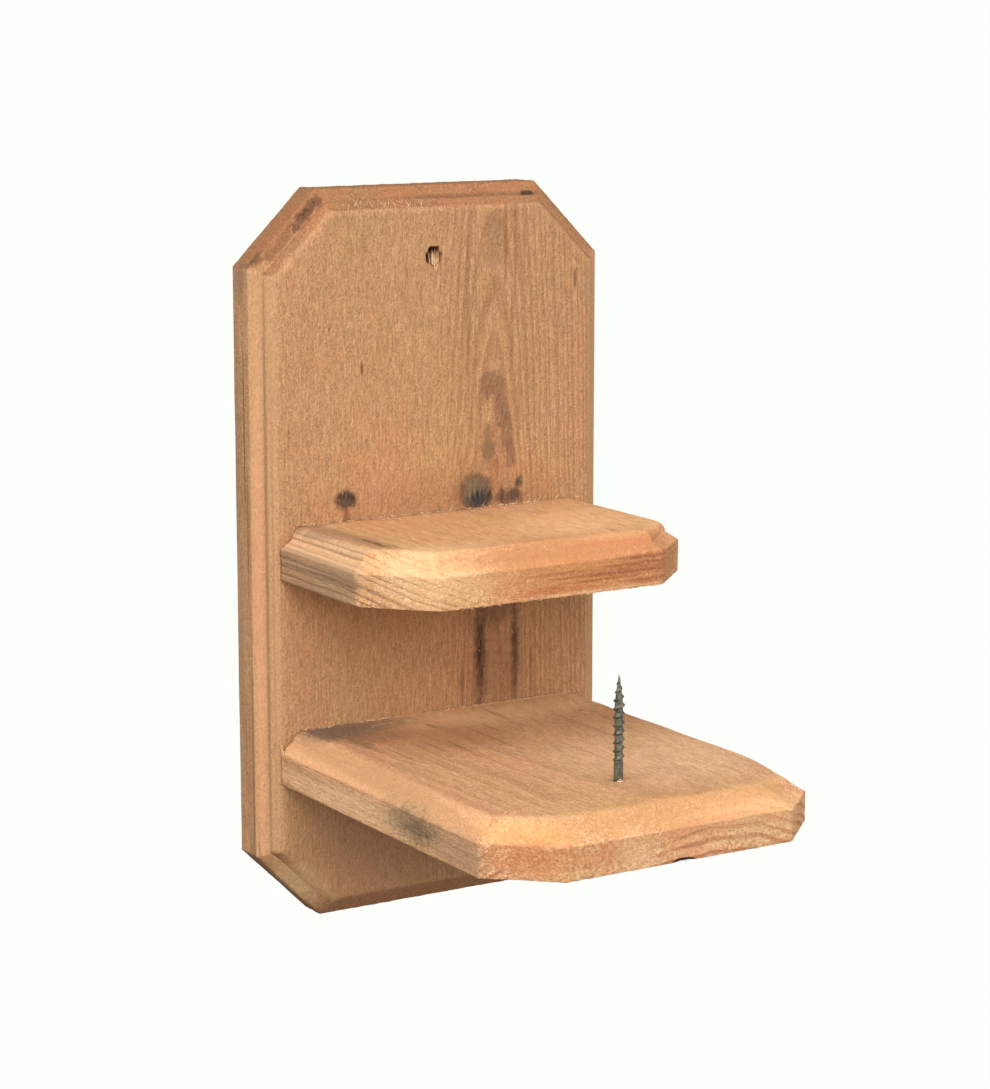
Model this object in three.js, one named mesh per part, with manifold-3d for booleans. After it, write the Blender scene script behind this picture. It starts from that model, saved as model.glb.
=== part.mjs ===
// A small wooden squirrel feeder that hangs on a tree, post or wall.
//
// A back board with clipped corners carries a short shelf, on which the animal sits, and a deeper
// platform below it. A wood screw driven up through the platform is the spike that a corn cob is
// turned down onto. Both shelves butt against the face of the back board, and two screws driven
// from behind hold each of them. Nothing moves.
//
// Units are millimetres, +Z is up, +X is to the right of someone facing the feeder, and -Y is
// towards them. The origin is on the axis of the hanging hole, in the plane of the back face.

import * as THREE from 'three';
import { mergeVertices } from 'three/addons/utils/BufferGeometryUtils.js';
import Module from 'manifold-3d';

const wasm = await Module();
wasm.setup();

// ---- Driving dimensions -------------------------------------------------------------------------

// Back board
const BOARD_WIDTH = 140;
const BOARD_HEIGHT = 255;
const BOARD_THICKNESS = 18.5;
const BOARD_TOP_CORNER = 26;       // both legs of the two cut corners at the top
const BOARD_BOTTOM_CORNER = 25;    // both legs of the two cut corners at the bottom

// Hanging hole
const HOLE_DIAMETER = 7;
const HOLE_BELOW_TOP = 24.25;
const HOLE_LEFT_OF_CENTRE = 1.5;   // drilled by hand, a little off the centre line

// Both shelves are cut from one width of stock
const SHELF_WIDTH = 125.5;
const SHELF_THICKNESS = 18.5;

// Upper shelf, the seat
const UPPER_HEIGHT = 123;          // its underside above the bottom of the back board
const UPPER_DEPTH = 74;
const UPPER_SHIFT = 0;             // its middle to the right of the board's centre line
const UPPER_LEFT_CORNER = { front: 19.5, side: 22 };
const UPPER_RIGHT_CORNER = { front: 18.5, side: 17.5 };

// Lower platform, which carries the cob screw
const PLATFORM_HEIGHT = 51.5;
const PLATFORM_DEPTH = 148.5;
const PLATFORM_SHIFT = -0.75;
const PLATFORM_LEFT_CORNER = { front: 21, side: 18.5 };
const PLATFORM_RIGHT_CORNER = { front: 18, side: 17 };

// Ogee routed along the front edges of all three boards: a ledge that rises from the arris to a
// sharp quirk, and a quarter round from the quirk up to the face
const LEDGE_WIDTH = 4.3;
const LEDGE_RISE = 2.75;
const ROUND_WIDTH = 5;
const ROUND_DEPTH = 4.5;

// Wood screws, all five alike
const SCREW_LENGTH = 51;
const SCREW_THREAD_LENGTH = 29.5;
const SCREW_POINT_LENGTH = 9.5;
const SHANK_DIAMETER = 3.1;
const ROOT_DIAMETER = 2.7;
const THREAD_DIAMETER = 4;
const THREAD_PITCH = 2.8;
const HEAD_DIAMETER = 8.2;
const HEAD_RIM = 0.4;              // straight rim above the countersunk cone
const HEAD_ANGLE = 90;             // degrees across the cone
const RECESS_WIDTH = 1.1;          // arms of the cross recess
const RECESS_SPAN = 4.4;
const RECESS_DEPTH = 1.8;

// Where the screws go
const WALL_SCREW_SPACING = 64;     // between the two screws of a shelf
const WALL_SCREW_SINK = 0.5;       // heads below the back face
const COB_SCREW_SETBACK = 36.5;    // behind the front edge of the platform
const COB_SCREW_X = 0.75;          // to the right of the board's centre line
const COB_SCREW_SINK = 2.5;        // head below the underside of the platform

const BORE_CLEARANCE = 0.3;        // between a screw and the wood around it

// Cutters and facets
const OVERCUT = 5;                 // how far a cutter runs past the wood
const OGEE_FACETS = 8;             // across the quarter round
const HOLE_FACETS = 24;            // round every drilled hole
const COARSE_SCREW = { sides: 10, stepsPerTurn: 5 };
const FINE_SCREW = { sides: 16, stepsPerTurn: 8 };

// ---- Materials ----------------------------------------------------------------------------------

function rawWood(name, colour) {
  return new THREE.MeshStandardMaterial({ name, color: colour, roughness: 0.85, metalness: 0 });
}

const coatedSteel = new THREE.MeshStandardMaterial({
  name: 'coated_steel',
  color: 0x565a50,
  roughness: 0.5,
  metalness: 0.7,
});

// ---- Solids -------------------------------------------------------------------------------------

// A closed geometry as a solid that can be cut and joined.
function solidOf(geometry) {
  const bare = geometry.clone();
  bare.deleteAttribute('normal');
  bare.deleteAttribute('uv');
  const merged = mergeVertices(bare, 1e-4);
  return new wasm.Manifold(new wasm.Mesh({
    numProp: 3,
    vertProperties: new Float32Array(merged.attributes.position.array),
    triVerts: new Uint32Array(merged.index.array),
  }));
}

// A solid back as a geometry, with flat facets.
function geometryOf(solid) {
  const mesh = solid.getMesh();
  const geometry = new THREE.BufferGeometry();
  geometry.setAttribute('position', new THREE.BufferAttribute(mesh.vertProperties, 3));
  geometry.setIndex(new THREE.BufferAttribute(mesh.triVerts, 1));
  const flat = geometry.toNonIndexed();
  flat.computeVertexNormals();
  return flat;
}

// ---- Boards -------------------------------------------------------------------------------------

const OGEE_WIDTH = LEDGE_WIDTH + ROUND_WIDTH;
const OGEE_DEPTH = LEDGE_RISE + ROUND_DEPTH;

// What the router takes off along an edge, seen along that edge: x runs in from the edge and y up
// through the thickness.
function ogeeCut(thickness) {
  const arris = thickness - OGEE_DEPTH;
  const cut = new THREE.Shape();
  cut.moveTo(-OVERCUT, arris - OVERCUT * LEDGE_RISE / LEDGE_WIDTH);
  cut.lineTo(LEDGE_WIDTH, arris + LEDGE_RISE);
  cut.absellipse(OGEE_WIDTH, thickness - ROUND_DEPTH, ROUND_WIDTH, ROUND_DEPTH,
    Math.PI, Math.PI / 2, true, 0);
  cut.lineTo(OGEE_WIDTH, thickness + OVERCUT);
  cut.lineTo(-OVERCUT, thickness + OVERCUT);
  cut.closePath();
  return cut;
}

// The cutter for the edge from one corner to the next, with the wood on its left.
function routerPass(from, to, thickness) {
  const along = to.clone().sub(from);
  const length = along.length() + 2 * OVERCUT;
  along.normalize();
  const cutter = new THREE.ExtrudeGeometry(ogeeCut(thickness), {
    depth: length,
    bevelEnabled: false,
    curveSegments: OGEE_FACETS,
  });
  const start = from.clone().addScaledVector(along, -OVERCUT);
  const place = new THREE.Matrix4().makeBasis(
    new THREE.Vector3(-along.y, along.x, 0),
    new THREE.Vector3(0, 0, 1),
    new THREE.Vector3(along.x, along.y, 0),
  );
  place.setPosition(start.x, start.y, 0);
  cutter.applyMatrix4(place);
  return solidOf(cutter);
}

// A board lying flat, its outline anticlockwise in x and y, and its routed face on top. The ogee
// runs along the given number of edges, from the first corner on.
function routedBoard(outline, thickness, routedEdges) {
  const blank = new THREE.ExtrudeGeometry(new THREE.Shape(outline), {
    depth: thickness,
    bevelEnabled: false,
  });
  let board = solidOf(blank);
  for (let edge = 0; edge < routedEdges; edge += 1) {
    const next = (edge + 1) % outline.length;
    board = board.subtract(routerPass(outline[edge], outline[next], thickness));
  }
  return board;
}

function backBoardOutline() {
  const side = BOARD_WIDTH / 2;
  const low = BOARD_BOTTOM_CORNER;
  const high = BOARD_HEIGHT - BOARD_TOP_CORNER;
  return [
    new THREE.Vector2(-side + low, 0),
    new THREE.Vector2(side - low, 0),
    new THREE.Vector2(side, low),
    new THREE.Vector2(side, high),
    new THREE.Vector2(side - BOARD_TOP_CORNER, BOARD_HEIGHT),
    new THREE.Vector2(-side + BOARD_TOP_CORNER, BOARD_HEIGHT),
    new THREE.Vector2(-side, high),
    new THREE.Vector2(-side, low),
  ];
}

// A shelf's outline, starting at its left rear corner, against the back board. The last edge is
// the one against the board, which isn't routed.
function shelfOutline(depth, shift, leftCorner, rightCorner) {
  const left = shift - SHELF_WIDTH / 2;
  const right = shift + SHELF_WIDTH / 2;
  const rear = -BOARD_THICKNESS;
  const front = rear - depth;
  return [
    new THREE.Vector2(left, rear),
    new THREE.Vector2(left, front + leftCorner.side),
    new THREE.Vector2(left + leftCorner.front, front),
    new THREE.Vector2(right - rightCorner.front, front),
    new THREE.Vector2(right, front + rightCorner.side),
    new THREE.Vector2(right, rear),
  ];
}

// ---- Screws -------------------------------------------------------------------------------------

const HALF_CONE = THREE.MathUtils.degToRad(HEAD_ANGLE / 2);
const CONE_HEIGHT = (HEAD_DIAMETER - SHANK_DIAMETER) / 2 / Math.tan(HALF_CONE);
const THREAD_START = SCREW_LENGTH - SCREW_THREAD_LENGTH;
const THREAD_FLANKS = 0.6;         // part of a pitch that the foot of the ridge covers

// How near a height is to the point: 1 along the body, falling to 0 over the length of the point.
function taperAt(height) {
  return Math.min(1, (SCREW_LENGTH - height) / SCREW_POINT_LENGTH);
}

// Height of the thread above the root, 0 to 1, at a height and an angle: a sharp ridge that climbs
// one pitch in each turn, and rises from the shank over its first pitch.
function threadRidge(height, angle) {
  const turns = (height - THREAD_START) / THREAD_PITCH - angle / (2 * Math.PI);
  const fromCrest = 2 * Math.abs(turns - Math.round(turns));
  const runIn = THREE.MathUtils.clamp((height - THREAD_START) / THREAD_PITCH, 0, 1);
  return Math.max(0, 1 - fromCrest / THREAD_FLANKS) * runIn;
}

// A countersunk wood screw. The flat of its head is at z = 0 and its point at z = SCREW_LENGTH.
function woodScrew({ sides, stepsPerTurn }) {
  const head = HEAD_DIAMETER / 2;
  const shank = SHANK_DIAMETER / 2;
  const root = ROOT_DIAMETER / 2;
  const profile = [
    new THREE.Vector2(0, 0),
    new THREE.Vector2(head, 0),
    new THREE.Vector2(head, HEAD_RIM),
    new THREE.Vector2(shank, HEAD_RIM + CONE_HEIGHT),
    new THREE.Vector2(shank, THREAD_START - THREAD_PITCH / 4),
  ];
  const step = THREAD_PITCH / stepsPerTurn;
  for (let height = THREAD_START; height < SCREW_LENGTH - step / 2; height += step) {
    profile.push(new THREE.Vector2(root * taperAt(height), height));
  }
  profile.push(new THREE.Vector2(0, SCREW_LENGTH));

  const screw = new THREE.LatheGeometry(profile, sides);
  screw.rotateX(Math.PI / 2);
  const position = screw.attributes.position;
  const threadDepth = (THREAD_DIAMETER - ROOT_DIAMETER) / 2;
  for (let i = 0; i < position.count; i += 1) {
    const x = position.getX(i);
    const y = position.getY(i);
    const height = position.getZ(i);
    const radius = Math.hypot(x, y);
    if (height < THREAD_START || radius === 0) continue;
    const ridge = threadDepth * taperAt(height) * threadRidge(height, Math.atan2(y, x));
    position.setXY(i, x * (1 + ridge / radius), y * (1 + ridge / radius));
  }

  let solid = solidOf(screw);
  for (const angle of [0, Math.PI / 2]) {
    const arm = new THREE.BoxGeometry(RECESS_SPAN, RECESS_WIDTH, 2 * RECESS_DEPTH);
    arm.rotateZ(angle);
    solid = solid.subtract(solidOf(arm));
  }
  return solid;
}

// The hole that a screw stands in: its own outer shape with a clearance all round, open beyond
// its head and closed just past its point.
function screwBore(place) {
  const gap = BORE_CLEARANCE;
  const head = HEAD_DIAMETER / 2 + gap;
  const shank = SHANK_DIAMETER / 2 + gap;
  const thread = THREAD_DIAMETER / 2 + gap;
  const bore = new THREE.LatheGeometry([
    new THREE.Vector2(0, -OVERCUT),
    new THREE.Vector2(head, -OVERCUT),
    new THREE.Vector2(head, HEAD_RIM + gap / 2),
    new THREE.Vector2(shank, HEAD_RIM + CONE_HEIGHT + gap / 2),
    new THREE.Vector2(shank, THREAD_START - THREAD_PITCH / 2),
    new THREE.Vector2(thread, THREAD_START),
    new THREE.Vector2(thread, SCREW_LENGTH - SCREW_POINT_LENGTH),
    new THREE.Vector2(gap, SCREW_LENGTH + gap),
    new THREE.Vector2(0, SCREW_LENGTH + gap),
  ], HOLE_FACETS);
  bore.rotateX(Math.PI / 2);
  bore.applyMatrix4(place);
  return solidOf(bore);
}

// A screw driven forwards through the back board into the middle of a shelf's thickness.
function wallScrewPlace(x, shelfHeight) {
  return new THREE.Matrix4()
    .makeRotationX(Math.PI / 2)
    .setPosition(x, -WALL_SCREW_SINK, shelfHeight + SHELF_THICKNESS / 2);
}

const SCREWS_OF_UPPER_SHELF = {
  upper_shelf_screw_left: wallScrewPlace(UPPER_SHIFT - WALL_SCREW_SPACING / 2, UPPER_HEIGHT),
  upper_shelf_screw_right: wallScrewPlace(UPPER_SHIFT + WALL_SCREW_SPACING / 2, UPPER_HEIGHT),
};
const SCREWS_OF_PLATFORM = {
  platform_screw_left: wallScrewPlace(PLATFORM_SHIFT - WALL_SCREW_SPACING / 2, PLATFORM_HEIGHT),
  platform_screw_right: wallScrewPlace(PLATFORM_SHIFT + WALL_SCREW_SPACING / 2, PLATFORM_HEIGHT),
};
const COB_SCREW_PLACE = new THREE.Matrix4().makeTranslation(
  COB_SCREW_X,
  COB_SCREW_SETBACK - PLATFORM_DEPTH - BOARD_THICKNESS,
  PLATFORM_HEIGHT + COB_SCREW_SINK,
);

// ---- The three boards ---------------------------------------------------------------------------

// In this section x = 0 is the board's centre line and z = 0 its bottom edge.
const HOLE_X = -HOLE_LEFT_OF_CENTRE;
const HOLE_Z = BOARD_HEIGHT - HOLE_BELOW_TOP;

function backBoard() {
  const lying = routedBoard(backBoardOutline(), BOARD_THICKNESS, backBoardOutline().length);
  const standing = geometryOf(lying);
  standing.rotateX(Math.PI / 2);
  let board = solidOf(standing);

  const hole = new THREE.CylinderGeometry(HOLE_DIAMETER / 2, HOLE_DIAMETER / 2,
    BOARD_THICKNESS + 2 * OVERCUT, HOLE_FACETS);
  hole.translate(HOLE_X, -BOARD_THICKNESS / 2, HOLE_Z);
  board = board.subtract(solidOf(hole));
  for (const place of Object.values({ ...SCREWS_OF_UPPER_SHELF, ...SCREWS_OF_PLATFORM })) {
    board = board.subtract(screwBore(place));
  }
  return board;
}

function shelf(outline, height, bores) {
  const lying = geometryOf(routedBoard(outline, SHELF_THICKNESS, outline.length - 1));
  lying.translate(0, 0, height);
  let board = solidOf(lying);
  for (const place of bores) board = board.subtract(screwBore(place));
  return board;
}

function upperShelf() {
  const outline = shelfOutline(UPPER_DEPTH, UPPER_SHIFT, UPPER_LEFT_CORNER, UPPER_RIGHT_CORNER);
  return shelf(outline, UPPER_HEIGHT, Object.values(SCREWS_OF_UPPER_SHELF));
}

function lowerPlatform() {
  const outline = shelfOutline(PLATFORM_DEPTH, PLATFORM_SHIFT,
    PLATFORM_LEFT_CORNER, PLATFORM_RIGHT_CORNER);
  return shelf(outline, PLATFORM_HEIGHT, [...Object.values(SCREWS_OF_PLATFORM), COB_SCREW_PLACE]);
}

// ---- Assembly -----------------------------------------------------------------------------------

const feeder = new THREE.Group();
feeder.position.set(-HOLE_X, 0, -HOLE_Z);

function addPiece(name, solid, material, place = new THREE.Matrix4()) {
  const mesh = new THREE.Mesh(geometryOf(solid), material);
  mesh.name = name;
  mesh.applyMatrix4(place);
  feeder.add(mesh);
}

addPiece('back_board', backBoard(), rawWood('back_board_wood', 0xc8986b));
addPiece('upper_shelf', upperShelf(), rawWood('upper_shelf_wood', 0xd6a878));
addPiece('lower_platform', lowerPlatform(), rawWood('lower_platform_wood', 0xcfa273));

const hiddenScrew = woodScrew(COARSE_SCREW);
for (const [name, place] of Object.entries({ ...SCREWS_OF_UPPER_SHELF, ...SCREWS_OF_PLATFORM })) {
  addPiece(name, hiddenScrew, coatedSteel, place);
}
addPiece('cob_screw', woodScrew(FINE_SCREW), coatedSteel, COB_SCREW_PLACE);

const part = new THREE.Group();
part.name = 'cob_feeder';
part.add(feeder);

export default part;
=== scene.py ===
# A small corn-cob feeder for squirrels, in bare rough-sawn softwood.
#
# A back board with four cut corners hangs on its hole. A short shelf, where the animal sits, and a
# deeper platform butt against its face, held by screws from behind. A wood screw driven up through
# the platform is the spike for the cob. Nothing moves. The frame is in metres; sizes below are in
# millimetres and are turned into metres as each mesh is made.

import math

import bpy
import numpy as np
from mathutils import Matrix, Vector


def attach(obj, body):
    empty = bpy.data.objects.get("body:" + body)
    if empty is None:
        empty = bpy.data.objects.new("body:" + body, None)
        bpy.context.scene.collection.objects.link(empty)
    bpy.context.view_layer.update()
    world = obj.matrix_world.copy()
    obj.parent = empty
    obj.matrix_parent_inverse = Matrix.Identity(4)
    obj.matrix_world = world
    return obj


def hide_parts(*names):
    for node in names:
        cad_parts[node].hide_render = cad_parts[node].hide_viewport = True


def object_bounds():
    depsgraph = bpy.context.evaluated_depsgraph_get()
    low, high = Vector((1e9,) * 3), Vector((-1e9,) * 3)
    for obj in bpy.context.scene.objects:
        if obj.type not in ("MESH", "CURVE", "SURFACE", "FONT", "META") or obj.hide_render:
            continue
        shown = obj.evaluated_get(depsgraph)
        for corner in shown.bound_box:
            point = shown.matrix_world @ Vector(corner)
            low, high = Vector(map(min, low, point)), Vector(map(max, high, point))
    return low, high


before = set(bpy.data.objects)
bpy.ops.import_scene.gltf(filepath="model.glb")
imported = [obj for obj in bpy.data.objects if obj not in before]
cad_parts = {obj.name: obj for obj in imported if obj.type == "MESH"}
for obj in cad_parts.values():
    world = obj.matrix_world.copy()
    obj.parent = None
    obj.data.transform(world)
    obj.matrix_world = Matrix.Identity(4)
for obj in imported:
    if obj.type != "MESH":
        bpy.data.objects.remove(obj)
cad_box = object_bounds()
scene = bpy.context.scene


# ---- Camera ------------------------------------------------------------------------------------
# It stands to the left of the feeder and a little above its hole, well back with a long lens, so
# that the uprights stay upright.

CAMERA_PLACE = (-0.51819, -0.89705, 0.08755)
CAMERA_AIM = (0.51691, 0.83652, -0.18176)


def aimed(name, data, place, direction):
    """A camera or light in the scene, at a place and looking along a direction."""
    made = bpy.data.objects.new(name, data)
    made.location = place
    made.rotation_mode = "QUATERNION"
    made.rotation_quaternion = direction.to_track_quat("-Z", "Y")
    scene.collection.objects.link(made)
    return made


camera_data = bpy.data.cameras.new("camera")
camera_data.lens = 97.87
camera_data.sensor_width = 36.0
camera_data.clip_start = 0.02
camera_data.clip_end = 40.0
camera = aimed("camera", camera_data, CAMERA_PLACE, Vector(CAMERA_AIM))
scene.camera = camera


# ---- Studio ------------------------------------------------------------------------------------
# A plain pale floor, far enough below for no shadow to show on it, a pale surround that fills in
# the shade, and one broad soft light high in front.

PAPER = (0.983, 1.0, 0.957, 1.0)
FLOOR_DROP = 0.9
FLOOR_REACH = 12.0
FLOOR_BOUNCE = (0.3, 0.3, 0.29, 1.0)
SURROUND_STRENGTH = 0.58
KEY_PLACE = (-0.75, -1.9, 0.95)
KEY_SIZE = 1.5
KEY_POWER = 35.5
FILL_PLACE = (1.2, -1.5, -0.1)
FILL_SIZE = 1.2
FILL_POWER = 8.5
SIDE_PLACE = (-1.35, -0.45, 1.25)
SIDE_SIZE = 1.3
SIDE_POWER = 22.5


def feed(tree, socket, value):
    """Links a socket to another's output, or sets its value."""
    if isinstance(value, bpy.types.NodeSocket):
        tree.links.new(value, socket)
    else:
        socket.default_value = value


def add_node(tree, kind, inputs=None, **options):
    """A shader node with its options set, and each input fed with a value or another's output."""
    made = tree.nodes.new("ShaderNode" + kind)
    for name, value in options.items():
        setattr(made, name, value)
    for key, value in (inputs or {}).items():
        feed(tree, made.inputs[key], value)
    return made


def soft_light(name, place, size, power, colour):
    """A square area light aimed at the middle of the feeder."""
    data = bpy.data.lights.new(name, "AREA")
    data.shape = "SQUARE"
    data.size = size
    data.energy = power
    data.color = colour
    aimed(name, data, place, (cad_box[0] + cad_box[1]) / 2 - Vector(place))


def paper_shade(tree, shown, lit, shader_out):
    """The camera sees the plain pale paper; everything else is lit by the second shader."""
    path = add_node(tree, "LightPath")
    both = add_node(tree, "MixShader", {0: path.outputs["Is Camera Ray"], 1: lit, 2: shown})
    add_node(tree, shader_out, {"Surface": both.outputs[0]})


soft_light("key_light", KEY_PLACE, KEY_SIZE, KEY_POWER, (1.0, 0.985, 0.96))
soft_light("fill_light", FILL_PLACE, FILL_SIZE, FILL_POWER, (1.0, 0.99, 0.97))
soft_light("side_light", SIDE_PLACE, SIDE_SIZE, SIDE_POWER, (1.0, 1.0, 1.0))

surround = bpy.data.worlds.new("surround")
surround.use_nodes = True
surround.node_tree.nodes.clear()
scene.world = surround
tree = surround.node_tree
seen = add_node(tree, "Background", {"Color": PAPER, "Strength": 1.0})
lit = add_node(tree, "Background", {"Color": (1.0, 1.0, 1.0, 1.0), "Strength": SURROUND_STRENGTH})
paper_shade(tree, seen.outputs[0], lit.outputs[0], "OutputWorld")

floor_paper = bpy.data.materials.new("floor_paper")
floor_paper.use_nodes = True
floor_paper.node_tree.nodes.clear()
tree = floor_paper.node_tree
glow = add_node(tree, "Emission", {"Color": PAPER, "Strength": 1.0})
matt = add_node(tree, "BsdfDiffuse", {"Color": FLOOR_BOUNCE})
paper_shade(tree, glow.outputs[0], matt.outputs[0], "OutputMaterial")

floor_level = cad_box[0].z - FLOOR_DROP
floor_mesh = bpy.data.meshes.new("floor")
floor_mesh.from_pydata([(-FLOOR_REACH, -FLOOR_REACH, floor_level),
                        (FLOOR_REACH, -FLOOR_REACH, floor_level),
                        (FLOOR_REACH, FLOOR_REACH, floor_level),
                        (-FLOOR_REACH, FLOOR_REACH, floor_level)], [], [(0, 1, 2, 3)])
floor_mesh.materials.append(floor_paper)
floor = bpy.data.objects.new("floor", floor_mesh)
scene.collection.objects.link(floor)
scene.view_settings.view_transform = "Standard"


# ---- Back board --------------------------------------------------------------------------------
# A length of rough-sawn softwood, its grain upright, with four cut corners and an ogee routed
# round its front edges. The hanging hole is drilled by hand and torn on its right side.

BOARD_WIDTH = 140.0
BOARD_HEIGHT = 255.0
BOARD_THICKNESS = 18.5
BOARD_TOP_CORNER = 26.0
BOARD_BOTTOM_CORNER = 25.0
BOARD_LEFT = -68.5
BOARD_FOOT = -230.75
LEDGE_WIDTH = 4.3
LEDGE_RISE = 2.75
ROUND_WIDTH = 5.0
ROUND_DEPTH = 4.5
OGEE_WIDTH = LEDGE_WIDTH + ROUND_WIDTH
FACE = -BOARD_THICKNESS
QUIRK = FACE + ROUND_DEPTH
HOLE_RADIUS = 3.5
SHELF_WIDTH = 125.5
SHELF_THICKNESS = 18.5
UPPER_LEFT = -61.25
UPPER_BASE = -107.75
PLATFORM_LEFT = -62.0
PLATFORM_BASE = -179.25
WALL_SCREW_SPACING = 64.0
WALL_SCREW_SINK = 0.5
SCREW_GAP = 0.3
HEAD_RADIUS = 4.1
HEAD_RIM = 0.4
SHANK_RADIUS = 1.55
CONE_HEIGHT = HEAD_RADIUS - SHANK_RADIUS
PAST_THE_WOOD = 3.0


def random_field(points, cell, seed):
    """Smooth random values from 0 to 1: one at each crossing of a lattice with the given cell
    size, blended between the eight around a point by 3t^2 - 2t^3 along each axis."""
    lattice = np.random.default_rng(seed).uniform(0, 1, (48, 48, 48))
    scaled = points / np.asarray(cell, float)
    low = np.floor(scaled).astype(int)
    t = scaled - low
    t = t * t * (3 - 2 * t)
    total = np.zeros(len(points))
    for corner in np.ndindex(2, 2, 2):
        at = (low + corner) % 48
        share = np.prod(np.where(np.array(corner) == 1, t, 1 - t), axis=1)
        total += share * lattice[at[:, 0], at[:, 1], at[:, 2]]
    return total


def smooth_step(value, low, high):
    """0 below low, 1 above high, and 3t^2 - 2t^3 between."""
    t = np.clip((value - low) / (high - low), 0, 1)
    return t * t * (3 - 2 * t)


def ogee_profile(thickness, softness):
    """The section of a routed edge as (inset, height) for each row and column. From the back
    arris up the straight edge, along the sloping ledge, and up the quarter ellipse to the face.
    Softness 0 keeps the quirk sharp; 1 is one worn, full slope from the arris to the face."""
    arris = thickness - LEDGE_RISE - ROUND_DEPTH
    quirk = arris + LEDGE_RISE
    edge = np.linspace(0.9, arris - 0.5, 9)
    ledge = np.linspace(0.5, LEDGE_WIDTH - 0.12, 8)
    turn = np.radians(np.array([0, 5, 12, 20, 30, 40, 50, 60, 70, 80, 90]))
    inset = np.concatenate([[0.7, 0.22, 0.04], 0 * edge, [0.02, 0.16], ledge, [LEDGE_WIDTH],
                            LEDGE_WIDTH + 0.05 + (ROUND_WIDTH - 0.05) * (1 - np.cos(turn)),
                            [OGEE_WIDTH + 0.5]])
    height = np.concatenate([[0.0, 0.12, 0.4], edge, [arris - 0.15, arris + 0.05],
                             arris + LEDGE_RISE * ledge / LEDGE_WIDTH, [quirk],
                             quirk + 0.12 + (ROUND_DEPTH - 0.12) * np.sin(turn), [thickness]])
    across = np.clip(inset / OGEE_WIDTH, 0, 1)
    worn = arris + (thickness - arris) * np.sin(across * np.pi / 2) ** 0.9
    blend = np.where((height > arris)[:, None], softness[None, :], 0.0)
    return (np.repeat(inset[:, None], len(softness), 1),
            height[:, None] * (1 - blend) + worn[:, None] * blend)


def four_sides(ring, across, along):
    """A closed ring cut into the four sides of a grid, each running the way of its opposite."""
    return (ring[:across + 1], ring[across:across + along + 1],
            ring[across + along:2 * across + along + 1][::-1],
            np.concatenate([ring[2 * across + along:], ring[:1]])[::-1])


def coons_patch(ring, across, along):
    """A grid whose four sides are the four stretches of a closed ring of points. Inside, each
    point is the sum of the two straight blends between opposite sides, less the blend of the
    four corners."""
    a, b, c, d = four_sides(ring, across, along)
    u = np.linspace(0, 1, across + 1)[:, None, None]
    v = np.linspace(0, 1, along + 1)[None, :, None]
    sides = a[:, None] * (1 - v) + c[:, None] * v + d[None] * (1 - u) + b[None] * u
    corners = (a[0] * (1 - u) * (1 - v) + a[-1] * u * (1 - v)
               + c[0] * (1 - u) * v + c[-1] * u * v)
    return sides - corners


def grid_quads(index, flip=False):
    """The quads of a grid of point numbers, wound the other way if flipped."""
    quads = np.stack([index[:-1, :-1], index[:-1, 1:], index[1:, 1:], index[1:, :-1]], -1)
    quads = quads.reshape(-1, 4)
    return quads[:, ::-1] if flip else quads


def routed_plank(corners, columns, routed, start, sides, thickness, softness, reach=None):
    """A closed board lying flat, in millimetres: points, quads, and how far each point is cut by
    the router, 0 to 1. The outline runs anticlockwise, each edge cut into a number of columns.
    The edge profile is carried round it: a point moves in from the outline along the mitre in
    proportion to its inset, or not at all on an edge that isn't routed. Reach widens the band
    where the cutter went further in. A Coons patch closes the back and another the face. Start
    turns the ring on to the first corner of the patches."""
    corners = np.array(corners, float)
    routed = np.array(routed, float)
    ahead = np.roll(corners, -1, 0) - corners
    ahead /= np.linalg.norm(ahead, axis=1)[:, None]
    inward = np.stack([-ahead[:, 1], ahead[:, 0]], 1)
    pairs = np.stack([np.roll(inward, 1, 0), inward], 1)
    amounts = np.stack([np.roll(routed, 1), routed], 1)[:, :, None]
    mitre = np.linalg.solve(pairs, amounts)[:, :, 0]
    t = [np.arange(n)[:, None] / n for n in columns]

    def carried(ends):
        stretches = zip(ends, np.roll(ends, -1, 0), t)
        return np.roll(np.concatenate([a * (1 - s) + b * s for a, b, s in stretches]), start, 0)

    place = carried(corners)
    slide = carried(mitre)
    inset, height = ogee_profile(thickness, softness(place))
    wide = reach(place) if reach else np.ones(len(place))
    flat = place[None] + (inset * wide)[:, :, None] * slide[None]
    wall = np.concatenate([flat, height[:, :, None]], 2)
    rows, around = inset.shape
    across, along = sides
    number = np.arange(rows * around).reshape(rows, around)
    points = [wall.reshape(-1, 3)]
    quads = [grid_quads(np.concatenate([number, number[:, :1]], 1))]
    arris = thickness - LEDGE_RISE - ROUND_DEPTH
    cut_row = smooth_step(height[:, 0], arris - 0.05, arris + 0.05)
    cut_row *= 1 - smooth_step(inset[:, 0], OGEE_WIDTH - 3.4, OGEE_WIDTH + 0.2)
    cut = [np.repeat(cut_row, around)]
    total = rows * around
    for row, flip in ((0, False), (rows - 1, True)):
        index = np.zeros((across + 1, along + 1), int)
        index[:, 0], index[-1], index[:, -1], index[0] = four_sides(number[row], across, along)
        inside = (across - 1) * (along - 1)
        index[1:-1, 1:-1] = total + np.arange(inside).reshape(across - 1, along - 1)
        total += inside
        points.append(coons_patch(wall[row], across, along)[1:-1, 1:-1].reshape(-1, 3))
        quads.append(grid_quads(index, flip))
        cut.append(np.zeros(inside))
    return np.concatenate(points), np.concatenate(quads), np.concatenate(cut)


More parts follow.
